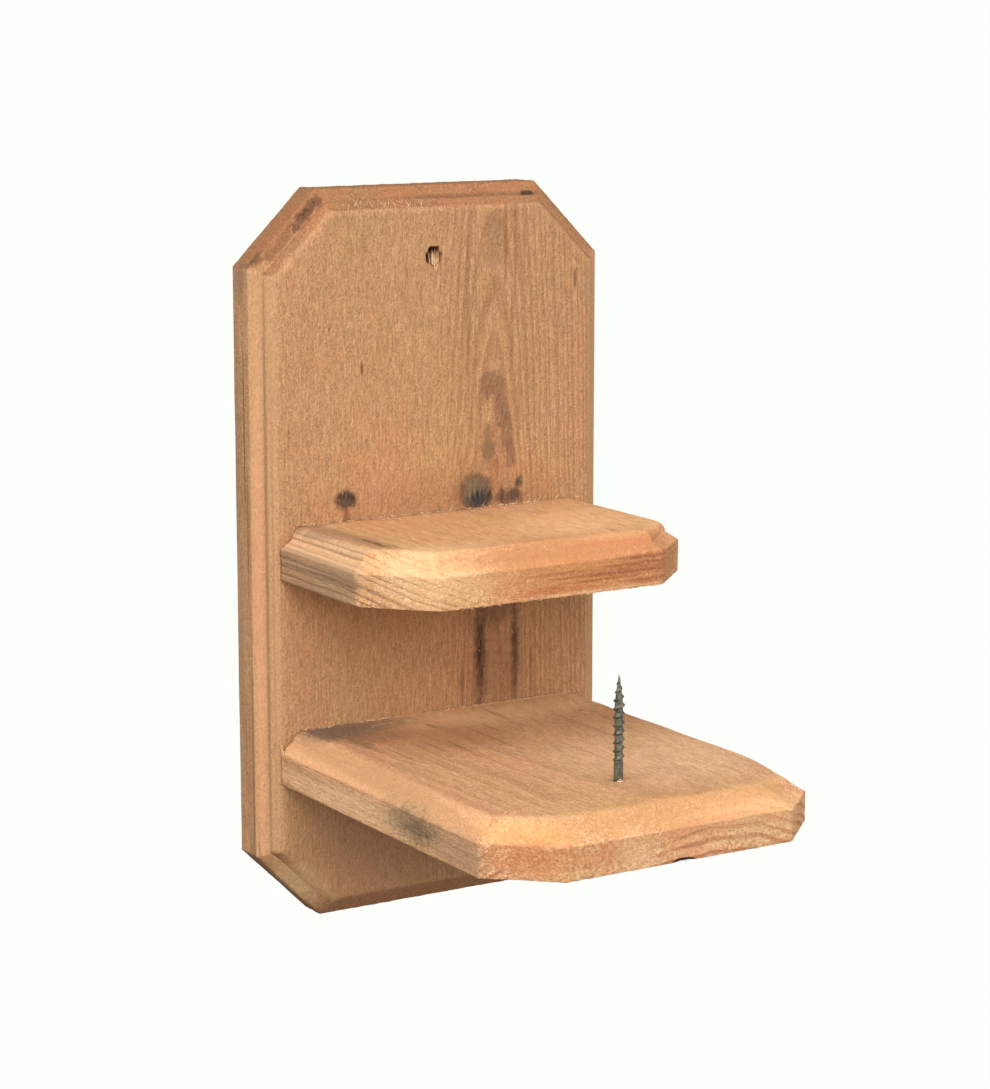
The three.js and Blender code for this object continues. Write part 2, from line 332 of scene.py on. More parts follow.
def mesh_of(name, points, faces, attributes=None):
    """A smooth-shaded mesh from points in millimetres, with named values at its points."""
    mesh = bpy.data.meshes.new(name)
    faces = faces if isinstance(faces, list) else faces.tolist()
    mesh.from_pydata((points * 0.001).tolist(), [], faces)
    for key, values in (attributes or {}).items():
        layer = mesh.attributes.new(key, "FLOAT", "POINT")
        layer.data.foreach_set("value", np.asarray(values, np.float32))
    mesh.shade_smooth()
    mesh.update()
    return mesh


def normals_of(points, faces):
    """The unit normal at each point: the sum of the normals of the faces round it."""
    p = points[faces]
    face = np.cross(p[:, 2] - p[:, 0], p[:, 3] - p[:, 1])
    total = np.zeros_like(points)
    for corner in range(4):
        np.add.at(total, faces[:, corner], face)
    return total / np.maximum(np.linalg.norm(total, axis=1), 1e-12)[:, None]


def sawn_relief(points, normals, cut, grain, seed):
    """How far the surface lies below the plain board, in millimetres. Sawn faces have ridges
    along the grain and a slow waver, machined edges a little of it, and end grain is pitted."""
    along = np.ones(3)
    along[grain] = 14.0
    end = smooth_step(np.abs(normals[:, grain]), 0.35, 0.75)
    ridges = random_field(points, 1.5 * along, seed)
    waver = random_field(points, 7.0 * np.sqrt(along), seed + 1)
    pits = random_field(points, (1.1, 1.1, 1.1), seed + 2)
    tufts = random_field(points, (2.6, 2.6, 2.6), seed + 3)
    flat = (1 - end) * (1 - 0.7 * cut)
    return (flat * (0.16 * ridges + 0.14 * waver) + end * (0.22 * pits + 0.25 * tufts)
            + 0.05 * ridges + 0.02)


def roughened(points, quads, cut, grain, seed):
    """The points of a plain board, sunk along their normals by its sawn relief."""
    normals = normals_of(points, quads)
    return points - normals * sawn_relief(points, normals, cut, grain, seed)[:, None]


def add_piece(name, mesh, material, replaced=None):
    """A piece of the feeder, standing for its CAD node if one is named."""
    piece = bpy.data.objects.new(name, mesh)
    scene.collection.objects.link(piece)
    mesh.materials.clear()
    mesh.materials.append(material)
    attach(piece, "root")
    if replaced:
        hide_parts(replaced)


def turned(radius, height):
    """A closed surface round the z axis. Radius and height are given for each row and column,
    and a pole point closes each end."""
    rows, sides = radius.shape
    angle = 2 * np.pi * np.arange(sides) / sides
    ring = np.stack([radius * np.cos(angle), radius * np.sin(angle), height], -1)
    poles = [[0, 0, height[0].mean()], [0, 0, height[-1].mean()]]
    points = np.concatenate([ring.reshape(-1, 3), poles])
    number = np.arange(rows * sides).reshape(rows, sides)
    wrapped = np.concatenate([number, number[:, :1]], 1)
    faces = grid_quads(wrapped).tolist()
    first = rows * sides
    bottom, top = wrapped[0].tolist(), wrapped[-1].tolist()
    faces += [[first, b, a] for a, b in zip(bottom, bottom[1:])]
    faces += [[first + 1, a, b] for a, b in zip(top, top[1:])]
    return points, faces


def drill(mesh, cutters):
    """Cuts closed shapes, given as (points, faces) in millimetres, out of a mesh."""
    body = bpy.data.objects.new("board_blank", mesh)
    scene.collection.objects.link(body)
    tools = []
    for points, faces in cutters:
        tool = bpy.data.objects.new("cutter", mesh_of("cutter", points, faces))
        scene.collection.objects.link(tool)
        tools.append(tool)
        modifier = body.modifiers.new("bore", "BOOLEAN")
        modifier.operation = "DIFFERENCE"
        modifier.solver = "MANIFOLD"
        modifier.object = tool
    bpy.context.view_layer.update()
    graph = bpy.context.evaluated_depsgraph_get()
    drilled = bpy.data.meshes.new_from_object(body.evaluated_get(graph))
    for tool in tools:
        bpy.data.objects.remove(tool)
    bpy.data.objects.remove(body)
    return drilled


def screw_bore(depth):
    """The countersunk hole for a wood screw, head end at z = 0 and open beyond it."""
    head = HEAD_RADIUS + SCREW_GAP
    shank = SHANK_RADIUS + SCREW_GAP
    radius = np.array([head, head, shank, shank])
    height = np.array([-6.0, HEAD_RIM, HEAD_RIM + CONE_HEIGHT, depth])
    sides = 32
    return turned(np.repeat(radius[:, None], sides, 1), np.repeat(height[:, None], sides, 1))


def from_behind(points, place=(0.0, 0.0, 0.0)):
    """Turns what is made along z to go into the board from its back, at a place."""
    return np.stack([points[:, 0], -points[:, 2], points[:, 1]], 1) + place


def splinters(roots, aims, lengths, widths, bends):
    """Slivers of torn wood, each a closed shell: three rings of three points at the root, a third
    and two thirds along, narrowing to a tip. The middle line is root + aim s + bend s^2."""
    aims = aims / np.linalg.norm(aims, axis=1)[:, None]
    side = np.cross(aims, np.roll(aims, 1, axis=1) + 0.01)
    side /= np.linalg.norm(side, axis=1)[:, None]
    other = np.cross(aims, side)
    points = []
    for s, share in ((-0.15, 1.0), (0.35, 0.85), (0.7, 0.5)):
        middle = roots + aims * (lengths * s)[:, None] + bends * (lengths * s * s)[:, None]
        for turn in (0.0, 2.1, 4.2):
            offset = side * math.cos(turn) + other * (0.55 * math.sin(turn))
            points.append(middle + offset * (widths * share / 2)[:, None])
    points.append(roots + aims * lengths[:, None] + bends * lengths[:, None])
    points = np.stack(points, 1)
    one = [(0, 2, 1), (9, 6, 7), (9, 7, 8), (9, 8, 6)]
    for ring in (0, 3):
        for k in range(3):
            n = (k + 1) % 3
            one += [(ring + k, ring + n, ring + 3 + n), (ring + k, ring + 3 + n, ring + 3 + k)]
    faces = np.array(one)[None] + 10 * np.arange(len(roots))[:, None, None]
    return points.reshape(-1, 3), faces.reshape(-1, 3)


def new_group(name, inputs, outputs):
    """An empty shader node group: its tree, and its input and output sockets by name."""
    group = bpy.data.node_groups.new(name, "ShaderNodeTree")
    for label, kind, value in inputs:
        socket = group.interface.new_socket(label, in_out="INPUT", socket_type="NodeSocket" + kind)
        if value is not None:
            socket.default_value = value
    for label, kind in outputs:
        group.interface.new_socket(label, in_out="OUTPUT", socket_type="NodeSocket" + kind)
    given = group.nodes.new("NodeGroupInput").outputs
    return group, given, group.nodes.new("NodeGroupOutput").inputs


def calc(tree, operation, *values):
    """The result of a Math node."""
    return add_node(tree, "Math", dict(enumerate(values)), operation=operation).outputs[0]


def vector_calc(tree, operation, *values):
    """The result of a Vector Math node: a number for a length, else a vector."""
    made = add_node(tree, "VectorMath", dict(enumerate(values)), operation=operation)
    return made.outputs[1 if operation == "LENGTH" else 0]


def times(tree, first, second):
    """The product of two values."""
    return calc(tree, "MULTIPLY", first, second)


def scaled(tree, vector, factor):
    """A vector made longer or shorter."""
    return add_node(tree, "VectorMath", {0: vector, "Scale": factor}, operation="SCALE").outputs[0]


def eased(tree, value, low, high, start=0.0, end=1.0):
    """A value taken from low..high to start..end, with a smooth step."""
    sockets = {"Value": value, "From Min": low, "From Max": high, "To Min": start, "To Max": end}
    return add_node(tree, "MapRange", sockets, interpolation_type="SMOOTHSTEP").outputs[0]


def noise(tree, position, scale, detail=2.0, roughness=0.5):
    """Noise texture, about 0.25 to 0.75."""
    sockets = {"Vector": position, "Scale": scale, "Detail": detail, "Roughness": roughness}
    return add_node(tree, "TexNoise", sockets).outputs[0]


def tint(tree, amount, under, over, blend="MIX"):
    """One colour laid over another."""
    sockets = {0: amount, 6: under, 7: over}
    return add_node(tree, "Mix", sockets, data_type="RGBA", blend_type=blend).outputs[2]


def srgb(red, green, blue):
    """A screen colour, 0 to 255, as linear values."""
    screen = np.array([red, green, blue]) / 255
    linear = np.where(screen <= 0.04045, screen / 12.92, ((screen + 0.055) / 1.055) ** 2.4)
    return (*linear.tolist(), 1.0)


# Fibres of softwood, with the third coordinate along the grain. Each layer is noise drawn out
# along it: the draw, scale, detail and roughness, and the span that is kept of a sparse one.
layers = (("Streak", 0.13, 1150.0, 4.0, 0.6, None),
          ("Mottle", 0.35, 110.0, 5.0, 0.62, None),
          ("Fleck", 0.16, 620.0, 1.0, 0.5, (0.68, 0.78)),
          ("Fuzz", 0.45, 1500.0, 3.0, 0.7, (0.50, 0.76)),
          ("Cloud", 0.35, 42.0, 4.0, 0.6, None),
          ("Felt", 0.6, 1900.0, 2.0, 0.6, None))
group, given, wanted = new_group("wood_fibre", [("Grain position", "Vector", None)],
                                 [(layer[0], "Float") for layer in layers])
for name, draw, scale, detail, roughness, span in layers:
    drawn = vector_calc(group, "MULTIPLY", given[0], (1.0, 1.0, draw))
    found = noise(group, drawn, scale, detail, roughness)
    feed(group, wanted[name], eased(group, found, *span) if span else found)
wood_fibre = group

# Growth rings: shells round a pith line that runs along the grain and may lean away from it,
# pushed aside where they pass a knot.
group, given, wanted = new_group(
    "growth_rings",
    [("Grain position", "Vector", None), ("Pith", "Vector", (0.0, 0.0, 0.0)),
     ("Lean", "Vector", (0.0, 0.0, 0.0)), ("Spacing", "Float", 0.0024),
     ("Waver", "Float", 0.003), ("Knot", "Vector", (0.0, 0.0, 1.0))],
    [("Late wood", "Float")])
grain_position = given["Grain position"]
along = add_node(group, "SeparateXYZ", {0: grain_position}).outputs[2]
from_pith = vector_calc(group, "SUBTRACT", grain_position, given["Pith"])
from_pith = vector_calc(group, "SUBTRACT", from_pith, scaled(group, given["Lean"], along))
off_knot = vector_calc(group, "SUBTRACT", grain_position, given["Knot"])
off_knot = vector_calc(group, "DIVIDE", off_knot, (0.012, 0.03, 0.017))
far = calc(group, "POWER", vector_calc(group, "LENGTH", off_knot), 2.0)
nearness = calc(group, "POWER", 2.718, times(group, -1.0, far))
pushed = scaled(group, vector_calc(group, "MULTIPLY", off_knot, (0.008, 0.0, 0.0)), nearness)
from_pith = vector_calc(group, "SUBTRACT", from_pith, pushed)
radius = vector_calc(group, "LENGTH", vector_calc(group, "MULTIPLY", from_pith, (1.0, 1.0, 0.0)))
soft = vector_calc(group, "MULTIPLY", grain_position, (1.0, 1.0, 0.2))
waver = calc(group, "SUBTRACT", noise(group, soft, 55.0, 2.0), 0.5)
radius = calc(group, "MULTIPLY_ADD", waver, given["Waver"], radius)
turns = calc(group, "DIVIDE", radius, given["Spacing"])
one_way = add_node(group, "CombineXYZ", {0: times(group, turns, 0.45)}).outputs[0]
turns = calc(group, "MULTIPLY_ADD", noise(group, one_way, 1.0, 2.0), 2.6, turns)
year = calc(group, "FRACT", turns)
late = calc(group, "SUBTRACT", eased(group, year, 0.35, 0.88), eased(group, year, 0.90, 1.0))
feed(group, wanted["Late wood"], late)
growth_rings = group

# Used for stains, knots and burns, and for painted shade and painted light: a soft ragged-edged
# ellipsoid.
group, given, wanted = new_group(
    "ragged_patch",
    [("Position", "Vector", None), ("Centre", "Vector", (0.0, 0.0, 0.0)),
     ("Size", "Vector", (0.01, 0.01, 0.01)), ("Ragged", "Float", 0.6), ("Soft", "Float", 0.4)],
    [("Mask", "Float")])
reach = vector_calc(group, "SUBTRACT", given["Position"], given["Centre"])
reach = vector_calc(group, "LENGTH", vector_calc(group, "DIVIDE", reach, given["Size"]))
rough = calc(group, "SUBTRACT", noise(group, given["Position"], 420.0, 4.0, 0.6), 0.5)
reach = calc(group, "MULTIPLY_ADD", rough, given["Ragged"], reach)
inner = calc(group, "SUBTRACT", 1.0, given["Soft"])
outer = calc(group, "ADD", 1.0, times(group, given["Soft"], 0.6))
feed(group, wanted["Mask"], calc(group, "SUBTRACT", 1.0, eased(group, reach, inner, outer)))
ragged_patch = group


def blank_material(name):
    """A new material, its empty node tree, and the place on the piece."""
    material = bpy.data.materials.new(name)
    material.use_nodes = True
    tree = material.node_tree
    tree.nodes.clear()
    return material, tree, add_node(tree, "TexCoord").outputs["Object"]


def sawn_wood(name, grain, flat, look, rings, shares, calm):
    """Bare softwood: fibres, growth rings, raised fuzz, speckled end grain and paler machined
    edges. The fibres run along the grain axis, and the sawn faces are square to the flat axis.
    Look holds screen colours, and rings feeds the growth rings. Shares is how strongly they show
    on sawn faces, machined edges and end grain, and calm is a zone, as centre and half size,
    that has hardly any."""
    look = {key: srgb(*colour) for key, colour in look.items()}
    material, tree, place = blank_material(name)
    axes = add_node(tree, "SeparateXYZ", {0: place}).outputs
    order = (0, 1, 2) if grain == 2 else (0, 2, 1)
    turned_place = {k: axes[axis] for k, axis in enumerate(order)}
    grain_place = add_node(tree, "CombineXYZ", turned_place).outputs[0]
    fibre = add_node(tree, "Group", {}, node_tree=wood_fibre)
    feed(tree, fibre.inputs[0], grain_place)
    streak, mottle, fleck, fuzz, cloud, felt = fibre.outputs
    years = add_node(tree, "Group", {}, node_tree=growth_rings)
    feed(tree, years.inputs["Grain position"], grain_place)
    for key, value in rings.items():
        years.inputs[key].default_value = value
    cut = add_node(tree, "Attribute", attribute_name="routed").outputs["Fac"]
    facing = add_node(tree, "SeparateXYZ", {0: add_node(tree, "NewGeometry").outputs["Normal"]})
    end = eased(tree, calc(tree, "ABSOLUTE", facing.outputs[grain]), 0.16, 0.5)
    sawn = eased(tree, calc(tree, "ABSOLUTE", facing.outputs[flat]), 0.8, 0.97)
    share = eased(tree, sawn, 0.0, 1.0, shares[1], shares[0])
    share = eased(tree, end, 0.0, 1.0, share, shares[2])
    quiet = add_node(tree, "Group", {}, node_tree=ragged_patch)
    feed(tree, quiet.inputs["Position"], place)
    quiet.inputs["Centre"].default_value = Vector(calm[0]) * 0.001
    quiet.inputs["Size"].default_value = Vector(calm[1]) * 0.001
    quiet.inputs["Soft"].default_value = 0.25
    share = times(tree, share, eased(tree, cut, 0.0, 1.0, 1.0, 0.5))
    share = times(tree, share, eased(tree, quiet.outputs["Mask"], 0.0, 1.0, 1.0, 0.12))
    late = times(tree, years.outputs["Late wood"], share)

    colour = tint(tree, eased(tree, streak, 0.30, 0.70), look["dark"], look["light"])
    colour = tint(tree, times(tree, eased(tree, mottle, 0.40, 0.70), 0.55),
                  colour, look["mottle"])
    colour = tint(tree, times(tree, cut, 0.75), colour, look["routed"])
    speckle = noise(tree, place, 950.0, 5.0, 0.72)
    ends = tint(tree, eased(tree, speckle, 0.33, 0.67), look["end_dark"], look["end_light"])
    ends = tint(tree, times(tree, eased(tree, mottle, 0.42, 0.62), 0.6),
                ends, look["end_mottle"])
    colour = tint(tree, end, colour, ends)
    colour = tint(tree, late, colour, tint(tree, end, look["late"], look["end_late"]))
    colour = tint(tree, times(tree, fleck, 0.35), colour, look["fleck"])
    colour = tint(tree, times(tree, fuzz, 0.45), colour, look["fuzz"])
    warmth = tint(tree, eased(tree, cloud, 0.35, 0.65), (0.975, 1.0, 0.955, 1.0),
                  (1.03, 0.995, 1.02, 1.0))
    colour = tint(tree, 1.0, colour, warmth, "MULTIPLY")
    furred = tint(tree, eased(tree, felt, 0.32, 0.68), (0.86, 0.85, 0.83, 1.0),
                  (1.13, 1.14, 1.16, 1.0))
    colour = tint(tree, 1.0, colour, furred, "MULTIPLY")

    relief = calc(tree, "MULTIPLY_ADD", streak, 0.9, times(tree, fuzz, 0.9))
    relief = calc(tree, "MULTIPLY_ADD", felt, 0.9, relief)
    relief = calc(tree, "MULTIPLY_ADD", late, 0.2, relief)
    relief = calc(tree, "MULTIPLY_ADD", times(tree, end, speckle), 1.4, relief)
    return {"material": material, "tree": tree, "place": place, "colour": colour,
            "relief": relief, "cut": cut, "streak": streak}


def spots(axis, level, depth, rows):
    """Stains, painted shade and painted light on the flat face that is square to an axis, at a
    level and with a half depth. Each row has a place and a half size along the other two axes, then
    what any of them has."""
    for first, second, wide, high, *rest in rows:
        centre = [first, second]
        size = [wide, high]
        centre.insert(axis, level)
        size.insert(axis, depth)
        yield centre, size, *rest


def add_stains_and_painted_shading(wood, stains_and_shading):
    """Lays stains, painted shade and painted light over a wood, each (centre, half size, screen
    colour, strength, ragged, soft), with lengths in millimetres. The fibres take them up unevenly."""
    tree = wood["tree"]
    for centre, size, colour, strength, ragged, softness in stains_and_shading:
        spot = add_node(tree, "Group", {}, node_tree=ragged_patch)
        feed(tree, spot.inputs["Position"], wood["place"])
        spot.inputs["Centre"].default_value = Vector(centre) * 0.001
        spot.inputs["Size"].default_value = Vector(size) * 0.001
        spot.inputs["Ragged"].default_value = ragged
        spot.inputs["Soft"].default_value = softness
        broken = eased(tree, wood["streak"], 0.30, 0.70, strength * 0.6, strength * 1.15)
        amount = times(tree, spot.outputs["Mask"], broken)
        wood["colour"] = tint(tree, amount, wood["colour"], srgb(*colour))


def finish_wood(wood):
    """The shader itself: dry, dull and slightly furry."""
    tree = wood["tree"]
    depth = calc(tree, "SUBTRACT", 1.0, times(tree, wood["cut"], 0.6))
    raised = times(tree, wood["relief"], depth)
    bump = add_node(tree, "Bump", {"Height": raised, "Strength": 0.7, "Distance": 0.0008})
    rough = eased(tree, wood["streak"], 0.3, 0.7, 0.92, 0.78)
    shader = add_node(tree, "BsdfPrincipled", {"Base Color": wood["colour"], "Roughness": rough,
                                               "Normal": bump.outputs[0],
                                               "Specular IOR Level": 0.22})
    add_node(tree, "OutputMaterial", {"Surface": shader.outputs[0]})
    return wood["material"]


def board_softness(place):
    """The router ran true along the grain, tore a little across the top, and left one full slope
    round the foot."""
    top = smooth_step(place[:, 1], 229, 234)
    foot = 1 - smooth_step(place[:, 1], 16, 27)
    return 0.05 + 0.2 * top + 0.8 * foot


half = BOARD_WIDTH / 2
low = BOARD_BOTTOM_CORNER
high = BOARD_HEIGHT - BOARD_TOP_CORNER
board_outline = [(-half + low, 0), (half - low, 0), (half, low), (half, high),
                 (half - BOARD_TOP_CORNER, BOARD_HEIGHT), (-half + BOARD_TOP_CORNER, BOARD_HEIGHT),
                 (-half, high), (-half, low)]
clip, foot, upright = 26, 92, 150
board_columns = [foot, clip, upright, clip, foot, clip, upright, clip]
flat_points, quads, cut = routed_plank(board_outline, board_columns, [1] * 8, clip // 2,
                                       (foot + clip, upright + clip), BOARD_THICKNESS,
                                       board_softness)
board_points = np.stack([flat_points[:, 0] + BOARD_LEFT + half, -flat_points[:, 2],
                         flat_points[:, 1] + BOARD_FOOT], 1)
board_points = roughened(board_points, quads, cut, 2, 11)

# The hole wanders and is torn, so its radius comes from two random fields, coarse and fine.
rows, sides = 30, 48
depth = np.linspace(-PAST_THE_WOOD, BOARD_THICKNESS + PAST_THE_WOOD, rows)[:, None]
angle = 2 * np.pi * np.arange(sides)[None] / sides
wall = np.broadcast_arrays(3 * np.cos(angle), depth, 3 * np.sin(angle))
wall = np.stack(wall, -1).reshape(-1, 3)
hole_radius = (HOLE_RADIUS - 0.35 + 0.9 * random_field(wall, (1.3, 3.5, 2.0), 31)
               - 0.5 * random_field(wall, (0.8, 1.2, 0.8), 32))
hole = turned(hole_radius.reshape(rows, sides), np.repeat(depth, sides, 1))
bore = screw_bore(BOARD_THICKNESS + PAST_THE_WOOD)
cutters = [(from_behind(hole[0]), hole[1])]
wall_screws = {}
for shelf, left, base in (("upper_shelf", UPPER_LEFT, UPPER_BASE),
                          ("platform", PLATFORM_LEFT, PLATFORM_BASE)):
    for hand, way in (("left", -1), ("right", 1)):
        place = (left + SHELF_WIDTH / 2 + way * WALL_SCREW_SPACING / 2, -WALL_SCREW_SINK,
                 base + SHELF_THICKNESS / 2)
        wall_screws[shelf + "_screw_" + hand] = place
        cutters.append((from_behind(bore[0], place), bore[1]))
board_mesh = drill(mesh_of("back_board_wood", board_points, quads, {"routed": cut}), cutters)

board_look = {"light": (204, 157, 113), "dark": (178, 130, 91),
              "mottle": (189, 137, 93), "late": (150, 102, 68),
              "routed": (192, 148, 107), "fleck": (120, 80, 52),
              "fuzz": (222, 180, 136), "end_light": (178, 128, 88),
              "end_dark": (136, 94, 62), "end_mottle": (170, 112, 72),
              "end_late": (130, 86, 56)}
board_rings = {"Pith": (0.0245, -0.004, 0.0), "Lean": (0.0, 0.07, 0.0), "Spacing": 0.0021,
               "Waver": 0.003, "Knot": (0.0172, FACE / 1000, -0.0835)}
board_wood = sawn_wood("back_board_wood", 2, 1, board_look, board_rings, (0.45, 0.35, 0.12),
                       ((-36.0, FACE, -90.0), (46.0, 16.0, 200.0)))
grey_brown = (146, 106, 78)
dark_grain = (140, 94, 62)
add_stains_and_painted_shading(board_wood, [
    # darker round the knots
    *spots(1, FACE, 5, [
        (10, -86, 46, 9, (160, 112, 76), 0.35, 0.8, 0.8),
        # the flame above the big knot: a broad head, a limb down its right side, and its dark heart
        (21.6, -46.6, 3, 5.4, grey_brown, 0.95, 1.3, 0.3),
        (26, -47.4, 3, 6.6, grey_brown, 0.95, 1.3, 0.3),
        (27.4, -55.5, 3, 6.8, grey_brown, 0.95, 1.3, 0.3),
        (29.6, -63.5, 2.5, 7.2, grey_brown, 0.95, 1.3, 0.3),
        (31.3, -70.5, 2, 6.2, grey_brown, 0.95, 1.3, 0.3),
        (18.9, -57, 0.8, 9, grey_brown, 0.5, 0.9, 0.6),
        (22, -69, 3.4, 4, (138, 104, 74), 0.95, 1, 0.4),
        (21.8, -63.5, 1.6, 4.4, (144, 108, 76), 0.9, 1, 0.4),
        (21.6, -74.5, 5.4, 2.6, (158, 116, 80), 0.6, 1, 0.6),
        (25.6, -75.5, 0.8, 4.5, dark_grain, 0.6, 0.5, 0.6),
        # the big knot
        (16.6, -83.4, 9.8, 8, (154, 112, 76), 0.8, 0.8, 0.4),
        (17, -83.8, 6.5, 6.5, (92, 72, 56), 1, 0.6, 0.4),
        (16.4, -83.8, 5.9, 5.9, (130, 106, 80), 1, 0.6, 0.4),
        (17.6, -86.4, 5, 4.2, (60, 57, 56), 1.1, 0.7, 0.7),
        (14.4, -83.6, 0.45, 3.6, (160, 132, 100), 0.8, 0.5, 0.6),
        (16.4, -82.6, 0.4, 2.8, (150, 126, 98), 0.7, 0.5, 0.6),
        (18.6, -84, 0.35, 3.2, (120, 104, 84), 0.6, 0.5, 0.6),
        (11.4, -82.6, 0.9, 3.8, (110, 80, 58), 0.6, 0.6, 0.6),
        (22.6, -85.4, 1, 2.6, (52, 40, 34), 0.9, 0.9, 0.6),
        (30.4, -86.6, 6.6, 3.4, (124, 90, 68), 1.1, 1.4, 0.5),
        (34.7, -81.6, 1.6, 2.8, (82, 66, 56), 1, 1.4, 0.7),
        (33, -86, 2.6, 2.2, (92, 72, 60), 1, 1.4, 0.7),
        (27.4, -86, 1.3, 3, (70, 54, 44), 0.7, 1, 0.6),
        # the small knot and the bleeding below it
        (-35.4, -81.9, 4.6, 3.5, (70, 54, 44), 1.1, 0.7, 0.45),
        (-35.1, -82.9, 2.6, 1.4, (104, 82, 66), 0.8, 0.9, 0.6),
        (-35, -88.5, 1.9, 4.4, (134, 84, 62), 0.75, 1, 0.6),
        # the grey-brown patch at the top and the dark lines that run down from it
        (24.4, 4, 4.4, 11.5, (168, 126, 92), 0.75, 0.8, 0.4),
        (25.5, 12.5, 4.8, 3, (164, 120, 86), 0.5, 0.9, 0.6),
        (29.2, 3.5, 1, 15, dark_grain, 0.65, 0.5, 0.6),
        (33.2, 0, 0.7, 19, dark_grain, 0.5, 0.5, 0.6),
        (36.8, 0, 0.6, 14, dark_grain, 0.35, 0.5, 0.6),
        (31.8, -26, 0.8, 14, dark_grain, 0.5, 0.5, 0.6),
        (34.8, -52, 0.7, 20, dark_grain, 0.4, 0.5, 0.6),
        (13.8, -20, 0.9, 38, dark_grain, 0.45, 0.6, 0.6),
        (16.8, -10, 0.6, 26, dark_grain, 0.25, 0.6, 0.6),
        (10.4, -74, 0.6, 12, dark_grain, 0.35, 0.6, 0.6),
        # darker between and under the shelves, as painted shade, and paler at the left of the foot
        (18.6, -142, 2.5, 20, (52, 38, 32), 1, 1.2, 0.8),
        (33.1, -144, 2, 19, (74, 52, 40), 0.9, 1.2, 0.8),
        (11, -152, 0.9, 9, (104, 72, 50), 0.5, 0.9, 0.6),
        (40, -150, 0.8, 12, (104, 72, 50), 0.45, 0.9, 0.6),
        (26, -150, 12, 14, (128, 88, 62), 0.45, 0.8, 0.7),
        (24.5, -127, 9.5, 7, (118, 84, 62), 0.7, 1.2, 0.7),
    ]),
    ((-62, -15, -221), (17, 9, 12), (240, 196, 142), 0.8, 0.7, 0.6),
    *spots(1, FACE, 5, [
        # painted shade, darker under the platform
        (-10, -205, 60, 26, (140, 100, 74), 0.35, 0.7, 0.7),
        # short dark flecks
        (-28.6, -36.9, 0.7, 2.6, (120, 78, 50), 0.8, 0.6, 0.6),
        (58.2, -10.5, 0.7, 3.4, (110, 72, 46), 0.8, 0.6, 0.6),
        (-41.2, -23.1, 0.5, 1.5, (130, 88, 58), 0.7, 0.6, 0.6),
        (54.3, -91.8, 0.6, 2, (120, 80, 52), 0.7, 0.6, 0.6),
    ]),
    # painted shade in the quirk of the routed edge: along the top, at its right end, and down the
    # left corner
    ((14, QUIRK, 19.9), (34, 1.4, 1), (112, 78, 54), 0.6, 0.6, 0.6),
    ((40.4, QUIRK, 19.8), (3.4, 2, 1.4), (64, 46, 36), 0.95, 0.6, 0.4),
    *[((-43.6 - 2 * k, QUIRK, 20.2 - 2 * k), (2.4, 2.6, 2.4), (88, 56, 38), 0.95, 1.4, 0.6)
      for k in range(5)],
    *[((-54.6 - 2.2 * k, QUIRK, 9 - 2.2 * k), (2.4, 3, 2.4), (120, 80, 50), 0.7, 1.4, 0.7)
      for k in range(4)],
    ((-66, -11, 2), (3.6, 3, 3.6), (96, 66, 46), 0.8, 1.2, 0.6),
    ((-67.5, -5, -6), (3, 5, 8), (140, 106, 84), 0.6, 1, 0.6),
    # the left side: a crack, a dark line beside the ledge, and paler and redder strips
    *spots(0, BOARD_LEFT, 2, [
        (-7.4, -56, 0.5, 34, (112, 84, 58), 0.85, 0.25, 0.5),
        (-9, -92, 0.6, 26, (120, 88, 60), 0.7, 0.25, 0.5),
        (-10.6, -180, 0.8, 52, (130, 100, 76), 0.7, 0.3, 0.5),
        (-3, -110, 2.2, 120, (168, 136, 104), 0.6, 0.4, 0.6),
    ]),
    ((-66, -12.6, -120), (2.4, 1.2, 110), (222, 158, 120), 0.5, 0.3, 0.6),
    ((-64, -14.2, -110), (0.5, 1.4, 120), (150, 106, 76), 0.7, 0.2, 0.6),
    ((-62.8, -16.4, -110), (0.4, 1.4, 110), (168, 122, 84), 0.6, 0.2, 0.6),
    ((-60.6, -17.6, -100), (0.4, 1.4, 90), (172, 126, 88), 0.5, 0.3, 0.6),
])
board_material = finish_wood(board_wood)
add_piece("back_board_wood", board_mesh, board_material, "back_board")


# ---- Upper shelf -------------------------------------------------------------------------------
# A short piece of the same stock with its grain running out from the board. Its two front corners
# are cut, and the ogee runs along its left, front and right edges. The animal sits on it.

UPPER_DEPTH = 74.0
UPPER_FRONT = FACE - UPPER_DEPTH
SEAT = UPPER_BASE + SHELF_THICKNESS


def shelf_outline(left, depth, left_corner, right_corner):
    """From the left rear corner, against the back board, anticlockwise round the front."""
    right = left + SHELF_WIDTH
    front = FACE - depth
    return [(left, FACE), (left, front + left_corner[1]), (left + left_corner[0], front),
            (right - right_corner[0], front), (right, front + right_corner[1]), (right, FACE)]


def shelf_blank(outline, base, columns, softness, reach=None):
    """A shelf with its rear edge left square: points, quads and how far each is cut. Columns are
    those of a side, a cut corner and the front."""
    side, clip, front = columns
    points, quads, cut = routed_plank(outline, [side, clip, front, clip, side, front + clip],
                                      [1, 1, 1, 1, 1, 0], 0, (side + clip // 2, front + clip),
                                      SHELF_THICKNESS, softness, reach)
    return points + [0, 0, base], quads, cut


def upper_softness(place):
    """Across the end grain of the front the cutter left a furry slope, crisp again at the right."""
    front = smooth_step(-place[:, 1], 66, 76)
    right = smooth_step(place[:, 0], 38, 50)
    return 0.08 + 0.75 * front * (1 - 0.9 * right)


upper_outline = shelf_outline(UPPER_LEFT, UPPER_DEPTH, (19.5, 22.0), (18.5, 17.5))
upper_points, quads, cut = shelf_blank(upper_outline, UPPER_BASE, (44, 24, 76), upper_softness)
upper_points = roughened(upper_points, quads, cut, 1, 41)
upper_mesh = mesh_of("upper_shelf_wood", upper_points, quads, {"routed": cut})

